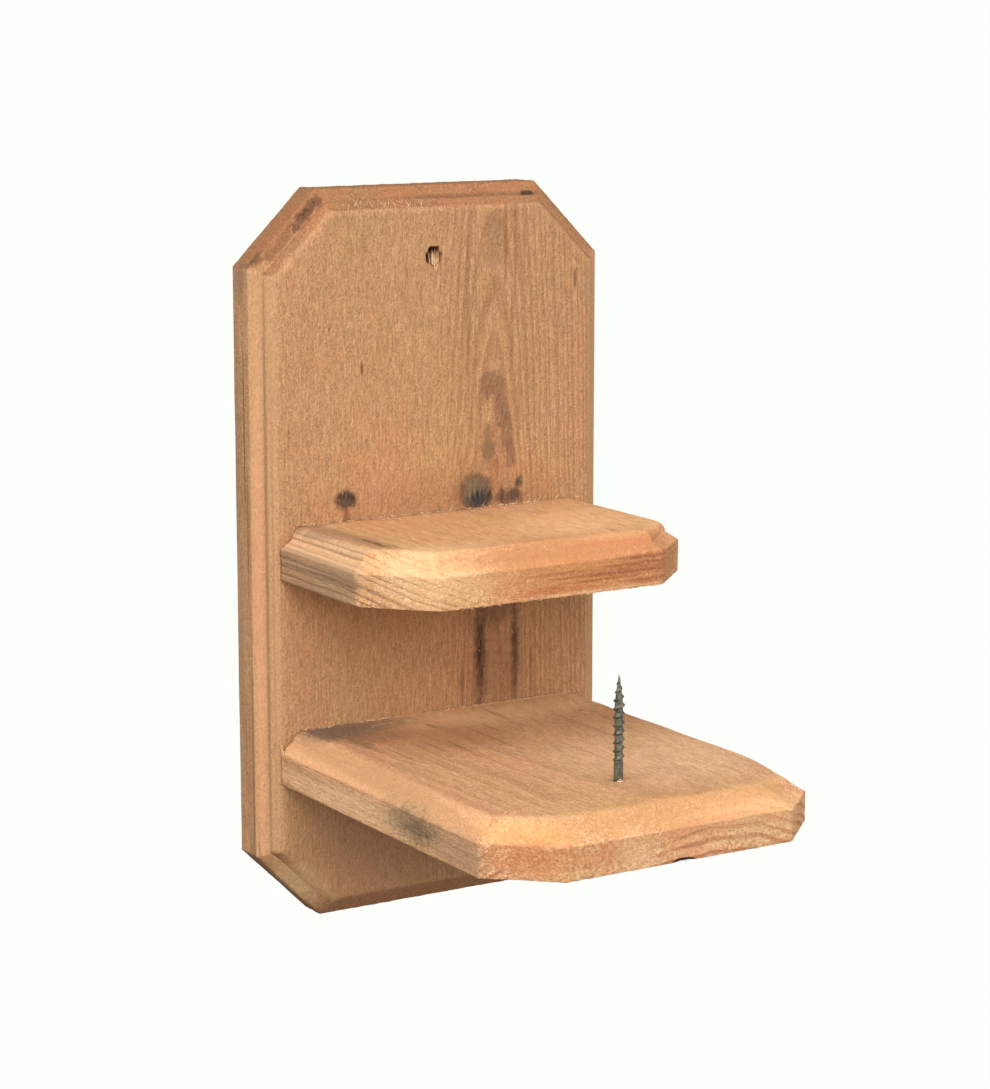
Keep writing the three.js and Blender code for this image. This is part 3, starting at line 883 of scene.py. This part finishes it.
upper_look = {"light": (226, 176, 128), "dark": (194, 141, 96),
              "mottle": (210, 152, 104), "late": (128, 88, 60),
              "routed": (212, 172, 132), "fleck": (140, 90, 58),
              "fuzz": (240, 200, 156), "end_light": (248, 198, 146),
              "end_dark": (192, 126, 82), "end_mottle": (214, 150, 102),
              "end_late": (142, 88, 56)}
upper_rings = {"Pith": (0.0446, 0.0835, 0.0), "Spacing": 0.0025, "Waver": 0.004}
upper_wood = sawn_wood("upper_shelf_wood", 1, 2, upper_look, upper_rings, (0.14, 1.0, 1.0),
                       ((26.0, -90.0, -97.0), (66.0, 40.0, 26.0)))
add_stains_and_painted_shading(upper_wood, [
    # the front: pale at the left, redder toward the right, with dark lines along it
    ((-43, -88, -97), (24, 18, 15), (255, 214, 160), 0.62, 0.6, 0.8),
    ((16, -92, -98), (36, 12, 12), (212, 138, 86), 0.72, 1.1, 0.7),
    ((8, -88, -93), (50, 9, 4.8), (196, 134, 88), 1, 1.3, 0.7),
    ((50, -88, -99), (24, 16, 12), (190, 124, 84), 0.6, 0.9, 0.8),
    *spots(1, UPPER_FRONT, 4, [
        (4, -105, 15, 1.6, (196, 116, 74), 0.75, 1.3, 0.7),
        (20, -103.2, 16, 0.6, (150, 86, 54), 0.6, 0.9, 0.6),
        (12, -101.4, 14, 0.5, (158, 92, 58), 0.6, 0.9, 0.6),
        (30, -101.6, 16, 0.5, (158, 92, 58), 0.6, 0.9, 0.6),
        (6, -99.6, 13, 0.7, (166, 100, 64), 0.5, 0.9, 0.6),
        (40, -104.8, 16, 0.8, (160, 94, 60), 0.6, 0.9, 0.6),
        (38, -99, 20, 0.6, (150, 86, 56), 0.6, 0.9, 0.6),
    ]),
    ((22, -92, -107), (34, 3, 0.9), (240, 196, 150), 0.5, 1, 0.6),
    *spots(1, UPPER_FRONT, 4, [
        (30, -101, 22, 1.6, (160, 94, 60), 0.55, 1, 0.6),
        (44, -96.8, 18, 1, (150, 88, 58), 0.6, 1, 0.6),
    ]),
    ((36, -90, -92), (26, 6, 1.4), (206, 134, 88), 0.5, 1, 0.6),
    # the top: greyish streaks at the left rear, dark ones at the right, and painted shade along the
    # wall
    *spots(2, SEAT, 3, [
        (-52, -33, 7, 14, (150, 118, 88), 0.8, 1.4, 0.7),
        (-49, -52, 5.6, 18, (154, 118, 86), 0.75, 1.4, 0.7),
        (-47.4, -60, 1.3, 13, (122, 84, 60), 0.9, 1, 0.6),
        (-44.8, -68, 0.8, 6, (120, 78, 54), 0.6, 0.8, 0.6),
    ]),
    ((-51.6, -50, -89.8), (0.8, 34, 0.9), (212, 148, 118), 0.6, 0.4, 0.6),
    *spots(2, SEAT, 3, [
        (30.8, -38.6, 3, 4, (170, 110, 74), 0.6, 1.2, 0.6),
        (33, -80, 0.9, 5, (120, 78, 52), 0.9, 0.8, 0.6),
        (41, -74, 0.7, 5, (120, 78, 52), 0.8, 0.8, 0.6),
        (46, -60, 0.6, 8, (130, 84, 56), 0.7, 0.8, 0.6),
        (34, -62, 30, 26, (250, 200, 142), 0.45, 1.2, 0.7),
    ]),
    ((-61, -56, -98), (4, 34, 9), (222, 180, 138), 0.4, 0.9, 0.6),
    *spots(2, SEAT, 3, [
        # painted shade in the corner along the back board
        (-52, -21, 8, 3, (140, 104, 76), 0.6, 1, 0.6),
        (0, -19, 60, 2.2, (150, 104, 70), 0.6, 0.9, 0.7),
    ]),
    # the left side, greyer, with a dark line along it
    ((-61.5, -45, -100.5), (2.2, 40, 9), (148, 120, 92), 0.6, 0.6, 0.4),
    ((-61.5, -60, -101), (2.2, 40, 0.9), (104, 78, 56), 0.6, 0.3, 0.5),
])
upper_material = finish_wood(upper_wood)
add_piece("upper_shelf_wood", upper_mesh, upper_material, "upper_shelf")


# ---- Lower platform ----------------------------------------------------------------------------
# Twice as deep as the seat and otherwise like it. Its front end was cut through fuzzy end grain,
# its right front corner is worn down, and a small bite is missing from its lower front edge.

PLATFORM_DEPTH = 148.5
PLATFORM_FRONT = FACE - PLATFORM_DEPTH
TABLE = PLATFORM_BASE + SHELF_THICKNESS
COB_SCREW_HEAD = (2.25, -130.5, PLATFORM_BASE + 2.5)
BITE_MIDDLE = 2.7


def platform_softness(place):
    """A blunter cutter left this edge as one full slope, with a trace of the quirk by the wall."""
    wall = smooth_step(-place[:, 1], 30, 80)
    return 0.5 + 0.45 * wall


def platform_reach(place):
    """Across the end grain the band is wider and wanders, and the right corner is worn down."""
    around = np.column_stack([place, 0 * place[:, 0]])
    front = smooth_step(-place[:, 1], 138, 166)
    corner = smooth_step(place[:, 0], 26, 50)
    wander = random_field(around, (13, 13, 13), 67)
    return 1 + 0.18 * (wander - 0.5) + front * (0.15 + 0.3 * wander) + 0.35 * front * corner


platform_outline = shelf_outline(PLATFORM_LEFT, PLATFORM_DEPTH, (21.0, 18.5), (18.0, 17.0))
platform_points, quads, cut = shelf_blank(platform_outline, PLATFORM_BASE, (108, 24, 78),
                                          platform_softness, platform_reach)
x, y, z = platform_points.T
top_share = smooth_step(z, PLATFORM_BASE + 9, PLATFORM_BASE + 15)
worn = smooth_step(x, 30, 62) * smooth_step(-y, 118, 160)
bite = np.clip(1 - ((x - BITE_MIDDLE) / 4.2) ** 2, 0, None) * smooth_step(-y, 163.5, 166)
bottom_share = 1 - smooth_step(z, PLATFORM_BASE + 0.5, PLATFORM_BASE + 5)
platform_points[:, 2] += 0.4 * bite * bottom_share - 2.6 * worn * top_share
platform_points = roughened(platform_points, quads, cut, 1, 61)
bore = screw_bore(SHELF_THICKNESS + PAST_THE_WOOD)
platform_mesh = drill(mesh_of("lower_platform_wood", platform_points, quads, {"routed": cut}),
                      [(bore[0] + COB_SCREW_HEAD, bore[1])])

platform_look = {"light": (226, 175, 128), "dark": (192, 140, 97),
                 "mottle": (206, 149, 104), "late": (158, 108, 74),
                 "routed": (218, 170, 122), "fleck": (140, 90, 58),
                 "fuzz": (238, 198, 152), "end_light": (255, 210, 160),
                 "end_dark": (190, 126, 82), "end_mottle": (226, 166, 116),
                 "end_late": (180, 112, 76)}
platform_rings = {"Pith": (0.0129, -0.2545, 0.0), "Lean": (0.0, 0.02, 0.0), "Spacing": 0.0032,
                  "Waver": 0.005}
platform_wood = sawn_wood("lower_platform_wood", 1, 2, platform_look, platform_rings,
                          (0.34, 0.5, 0.85), ((-30.0, -160.0, -168.0), (36.0, 20.0, 16.0)))
add_stains_and_painted_shading(platform_wood, [
    # the band round the front is yellower, and redder below, with the dark bite at its foot
    ((8, -160, -164), (62, 14, 4.4), (202, 148, 96), 0.85, 0.8, 0.6),
    ((-52, -158, -164.5), (14, 18, 3.6), (222, 168, 102), 0.55, 0.6, 0.6),
    ((-50, -162, -171.5), (15, 16, 6), (204, 122, 76), 0.75, 1.8, 0.8),
    ((-24, PLATFORM_FRONT, -172), (13, 4, 4.5), (206, 126, 82), 0.6, 1.8, 0.8),
    ((18, PLATFORM_FRONT, -168.5), (32, 6, 2.6), (206, 136, 92), 0.5, 1.3, 0.6),
    ((BITE_MIDDLE, PLATFORM_FRONT, -178.9), (4.6, 3, 1.3), (22, 18, 16), 1.3, 0.3, 0.3),
    ((-16, PLATFORM_FRONT, -173), (8, 6, 6), (240, 196, 148), 0.5, 1, 0.7),
    ((30, -166, -167.4), (26, 4, 0.8), (200, 130, 86), 0.4, 1.2, 0.6),
    ((20, PLATFORM_FRONT, -170.8), (30, 4, 0.8), (190, 118, 78), 0.4, 1.2, 0.6),
    ((34, -164, -170), (30, 5, 9), (250, 204, 150), 0.4, 1.4, 0.7),
    # the top: blue stain in the left rear corner, darker along the wall
    *spots(2, TABLE, 3, [
        (-44, -27, 16, 13, (108, 90, 72), 0.95, 1.3, 0.6),
        (-35, -38, 14, 12, (132, 98, 72), 0.8, 1.3, 0.6),
        (-24, -26, 14, 7, (130, 92, 64), 0.75, 1.1, 0.6),
        (-36, -25, 24, 10, (116, 96, 80), 0.7, 1.5, 0.6),
        (-45, -46, 3, 12, (120, 92, 70), 0.7, 1.3, 0.6),
        (34, -110, 40, 44, (244, 204, 158), 0.4, 0.8, 0.7),
        (-3, -60, 0.9, 16, (140, 94, 64), 0.7, 0.9, 0.6),
        (4, -48, 0.7, 12, (140, 94, 64), 0.6, 0.9, 0.6),
        (-26, -62, 0.7, 9, (132, 88, 62), 0.7, 0.9, 0.6),
        (-41, -66, 0.7, 12, (146, 98, 68), 0.6, 0.9, 0.6),
        (-34, -86, 0.8, 14, (160, 110, 74), 0.5, 0.8, 0.6),
        (14, -96, 0.7, 18, (170, 122, 84), 0.5, 0.8, 0.6),
        (34, -70, 0.8, 20, (170, 122, 84), 0.45, 0.8, 0.6),
        # painted light: paler on the top beside the wall at the right, lifting the shade cast there
        # by the board and shelf
        (22, -30, 44, 16, (250, 204, 152), 0.9, 1.3, 0.7),
        (16, -33, 1.4, 9, (150, 104, 74), 0.5, 1, 0.6),
        (-20, -52, 26, 20, (172, 118, 80), 0.6, 1.3, 0.7),
        (-18.6, -66, 0.8, 9, (140, 92, 60), 0.6, 0.6, 0.6),
        (-12.4, -36, 0.9, 4, (120, 80, 54), 0.6, 0.8, 0.6),
    ]),
    # the left side: green mould, greyer toward the front, and painted shade and painted light on
    # its band and face
    ((-62, -136, -173.5), (4, 20, 6.5), (182, 146, 114), 0.7, 0.7, 0.5),
    # painted shade darkens the sloping band at the top of the left edge, which faces the side
    # light; painted light brightens the flat left side below it
    ((-57, -66, -163.6), (6.5, 62, 3.4), (190, 142, 101), 0.75, 0.5, 0.5),
    ((-62, -66, -174), (2.5, 56, 5.4), (240, 200, 154), 0.6, 0.8, 0.6),
    ((-60, -60, -168.5), (4, 40, 1.4), (210, 146, 104), 0.5, 0.6, 0.6),
    ((-60.5, -40, -171.4), (4, 20, 0.7), (170, 120, 84), 0.5, 0.6, 0.6),
    ((-62, -108, -171.5), (5, 18, 6), (128, 108, 78), 0.8, 1.8, 0.7),
    ((-62, -112, -173), (4, 9, 3.4), (108, 90, 66), 0.7, 2.4, 0.8),
])
platform_material = finish_wood(platform_wood)
add_piece("lower_platform_wood", platform_mesh, platform_material,
          "lower_platform")


# ---- Screws ------------------------------------------------------------------------------------
# Five countersunk wood screws, 51 mm long, in grey-green coated steel, with a cross recess. Four
# are driven through the back board into the shelves, and the fifth up through the platform.

SCREW_LENGTH = 51.0
THREAD_START = 21.5
POINT_LENGTH = 9.5
ROOT_RADIUS = 1.35
THREAD_RADIUS = 2.0
THREAD_PITCH = 2.8
RECESS_DEPTH = 1.8
RECESS_HALF_WIDTH = 0.55
RECESS_HALF_SPAN = 2.2


def wood_screw(step, sides):
    """The whole screw as one turned surface, head down. Radius and height by row: across the
    flat of the head, sunk where the cross recess is, up its cone and shank, and along the
    thread, whose crest is a sharp ridge that moves on by one pitch in each turn."""
    angle = 2 * np.pi * np.arange(sides) / sides
    flat = np.linspace(0.12, HEAD_RADIUS - 0.12, 22)
    across = flat[:, None] * np.cos(angle)
    along = flat[:, None] * np.sin(angle)

    def arm(a, b):
        return (smooth_step(RECESS_HALF_WIDTH - np.abs(a), -0.1, 0.1)
                * smooth_step(RECESS_HALF_SPAN - np.abs(b), -0.15, 0.15))

    depth = RECESS_DEPTH * np.maximum(arm(across, along), arm(along, across))
    depth *= 1 - 0.25 * smooth_step(flat, 0.8, 2.2)[:, None]
    neck_radius = np.array([HEAD_RADIUS, HEAD_RADIUS, HEAD_RADIUS - 0.1, 2.9, 1.9, SHANK_RADIUS,
                            SHANK_RADIUS, SHANK_RADIUS])
    neck_height = np.array([0.05, HEAD_RIM, HEAD_RIM + 0.12, 1.7, 2.6, 3.05, 8.0, 19.0])
    run = np.arange(THREAD_START - 1.4, SCREW_LENGTH - 0.05, step)
    taper = np.clip((SCREW_LENGTH - run) / POINT_LENGTH, 0, 1) ** 0.85
    turns = (run[:, None] - THREAD_START) / THREAD_PITCH - angle / (2 * np.pi)
    from_crest = np.abs(turns - np.round(turns)) * THREAD_PITCH
    ridge = np.clip(1 - from_crest / 0.62, 0, 1)
    runs_in = smooth_step(run, THREAD_START - 1.2, THREAD_START + 2.2)
    root = SHANK_RADIUS + (ROOT_RADIUS - SHANK_RADIUS) * runs_in
    crest = (THREAD_RADIUS - ROOT_RADIUS) * runs_in * np.clip(taper * 1.15, 0, 1)
    body = (root * taper)[:, None] + crest[:, None] * ridge
    radius = np.concatenate([np.repeat(flat[:, None], sides, 1),
                             np.repeat(neck_radius[:, None], sides, 1), body])
    height = np.concatenate([depth, np.repeat(neck_height[:, None], sides, 1),
                             np.repeat(run[:, None], sides, 1)])
    return turned(radius, height)


steel, tree, place = blank_material("coated_steel")
patches = noise(tree, place, 700.0, 3.0, 0.6)
grime = noise(tree, place, 2600.0, 2.0, 0.6)
colour = tint(tree, eased(tree, patches, 0.4, 0.62), srgb(84, 84, 74), srgb(126, 124, 108))
colour = tint(tree, times(tree, eased(tree, grime, 0.55, 0.7), 0.5), colour,
              srgb(62, 56, 46))
bump = add_node(tree, "Bump", {"Height": grime, "Strength": 0.35, "Distance": 0.0002})
shader = add_node(tree, "BsdfPrincipled", {"Base Color": colour, "Metallic": 0.55,
                                           "Roughness": eased(tree, patches, 0.3, 0.7, 0.38, 0.6),
                                           "Normal": bump.outputs[0]})
add_node(tree, "OutputMaterial", {"Surface": shader.outputs[0]})

points, faces = wood_screw(0.13, 40)
cob = mesh_of("cob_screw_steel", points + COB_SCREW_HEAD, faces)
add_piece("cob_screw_steel", cob, steel, "cob_screw")
points, faces = wood_screw(0.28, 24)
for name, place in wall_screws.items():
    driven = mesh_of(name + "_steel", from_behind(points, place), faces)
    add_piece(name + "_steel", driven, steel, name)


# ---- Raised fibres -----------------------------------------------------------------------------
# Slivers and lint torn up by the saw, the router and the drill, and left on the rough wood. They
# are part of the boards: thin over the faces, thicker along the joints, the lower arrises and the
# top, and in the hole.

raised, tree, place = blank_material("raised_fibres")
patches = noise(tree, place, 300.0, 2.0, 0.6)
colour = tint(tree, eased(tree, patches, 0.35, 0.65), srgb(206, 156, 112), srgb(246, 208, 166))
shader = add_node(tree, "BsdfPrincipled", {"Base Color": colour, "Roughness": 0.85,
                                           "Specular IOR Level": 0.2})
add_node(tree, "OutputMaterial", {"Surface": shader.outputs[0]})

rng = np.random.default_rng(71)


def lint(count, low, high, aim, spread, length, width):
    """Slivers scattered through a box, in millimetres: their roots, aims, lengths, widths and
    bends. Each aim is the one given, either way along it, plus a random part up to spread."""
    roots = rng.uniform(low, high, (count, 3))
    way = rng.choice([-1.0, 1.0], count)[:, None]
    aims = np.array(aim) * way + rng.uniform(-1, 1, (count, 3)) * np.array(spread)
    lengths = rng.uniform(*length, count)
    widths = rng.uniform(*width, count)
    bends = rng.uniform(-0.25, 0.25, (count, 3)) * np.array(spread)
    return roots, aims, lengths, widths, bends


def add_fibres(name, batches):
    """One piece made of several batches of slivers."""
    roots, aims, lengths, widths, bends = [np.concatenate(part) for part in zip(*batches)]
    points, faces = splinters(roots, aims, lengths, widths, bends)
    add_piece(name, mesh_of(name, points, faces), raised)


# Whiskers lie on the quarter ellipse of the top's round, and follow it down.
count = 26
turn = rng.uniform(0.2, 1.1, count)
deep = ROUND_DEPTH - 0.12
wide = ROUND_WIDTH - 0.05
quirk_level = BOARD_FOOT + BOARD_HEIGHT - LEDGE_WIDTH - 0.05
whiskers = (np.stack([rng.uniform(-34, -3, count), FACE + deep * (1 - np.sin(turn)),
                      quirk_level - wide * (1 - np.cos(turn))], 1),
            np.stack([rng.uniform(-3.0, 3.0, count), -deep * np.cos(turn),
                      -wide * np.sin(turn)], 1),
            rng.uniform(2.5, 6.0, count), rng.uniform(0.25, 0.45, count),
            np.tile([0.0, 0.25, 0.0], (count, 1)))
# Torn wood still stands in the right part of the hole, with a split below it.
count = 15
roots, _, lengths, widths, bends = lint(count, (-1.2, -17.8, -3.7), (2.4, -16.4, -3.1), (0, 0, 1),
                                        (0.2, 0.2, 0.0), (4.6, 6.6), (0.6, 1.0))
aims = np.stack([rng.uniform(-0.1, 0.12, count), rng.uniform(-0.1, 0.05, count),
                 np.ones(count)], 1)
torn = (roots, aims, lengths, widths, bends)
split = (np.array([[0.2, -18.3, -3.0], [0.9, -18.3, -2.8], [1.6, -18.3, -3.0]]),
         np.array([[0.25, -0.03, -1.0], [0.0, -0.05, -1.0], [-0.3, -0.03, -1.0]]),
         np.array([3.2, 3.8, 3.0]), np.array([0.7, 0.6, 0.6]), np.zeros((3, 3)))
add_fibres("back_board_fibres", [
    whiskers,
    torn,
    split,
    lint(420, (-56, FACE + 0.05, -222), (60, FACE + 0.2, 14), (0, 0, 1), (0.5, 0.2, 0.2),
         (0.7, 1.9), (0.13, 0.24)),
    lint(110, (-56, FACE, TABLE + 0.05), (60, FACE + 0.2, -112), (0, 0, 1), (0.7, 0.3, 0.2),
         (0.8, 2.4), (0.15, 0.28)),
    lint(80, (-56, FACE, -222), (40, FACE + 0.2, -181), (0, 0, 1), (0.6, 0.3, 0.2), (0.8, 2.6),
         (0.15, 0.3)),
])
add_fibres("upper_shelf_fibres", [
    lint(110, (-55, -19.6, SEAT - 0.1), (60, -18.7, SEAT + 0.2), (1, 0, 0), (0.7, 0.5, 0.9),
         (0.8, 3.2), (0.2, 0.42)),
    lint(300, (-50, -84, SEAT - 0.25), (52, -20, SEAT - 0.1), (0, 1, 0), (0.6, 0.2, 0.15),
         (0.6, 1.8), (0.12, 0.22)),
    lint(70, (-40, -92.2, -107.6), (44, -91.9, -107.3), (1, 0, 0), (0.5, 0.1, 0.5), (0.5, 1.9),
         (0.16, 0.3)),
    lint(160, (-40, -92.35, -107), (44, -92.1, -98), (1, 0, 0), (0.5, 0.1, 1.0), (0.4, 1.2),
         (0.12, 0.2)),
])
add_fibres("lower_platform_fibres", [
    lint(130, (-55, -19.8, TABLE - 0.1), (60, -18.7, TABLE + 0.2), (1, 0, 0), (0.7, 0.5, 0.9),
         (0.8, 3.2), (0.2, 0.42)),
    lint(420, (-50, -152, TABLE - 0.25), (50, -20, TABLE - 0.1), (0, 1, 0), (0.6, 0.2, 0.15),
         (0.6, 1.9), (0.12, 0.22)),
    lint(50, (-38, -166.6, -179.1), (44, -166.3, -178.8), (1, 0, 0), (0.5, 0.05, 0.5),
         (0.5, 1.6), (0.16, 0.3)),
    lint(220, (-40, -166.75, -178.4), (44, -166.55, -169), (1, 0, 0), (0.5, 0.05, 1.0),
         (0.4, 1.4), (0.12, 0.22)),
    # the torn corner by the wall, and a curl at the foot of the screw
    lint(5, (-62.3, -20.6, -172.0), (-61.8, -19.2, -163.8), (0, 0, 0), (0.35, 0.5, 1.0),
         (2.4, 3.8), (0.6, 0.9)),
    lint(4, (1.0, -133.4, TABLE - 0.2), (4.9, -132.0, TABLE), (1, 0, 0), (0.3, 0.3, 0.5),
         (1.4, 2.4), (0.3, 0.5)),
])
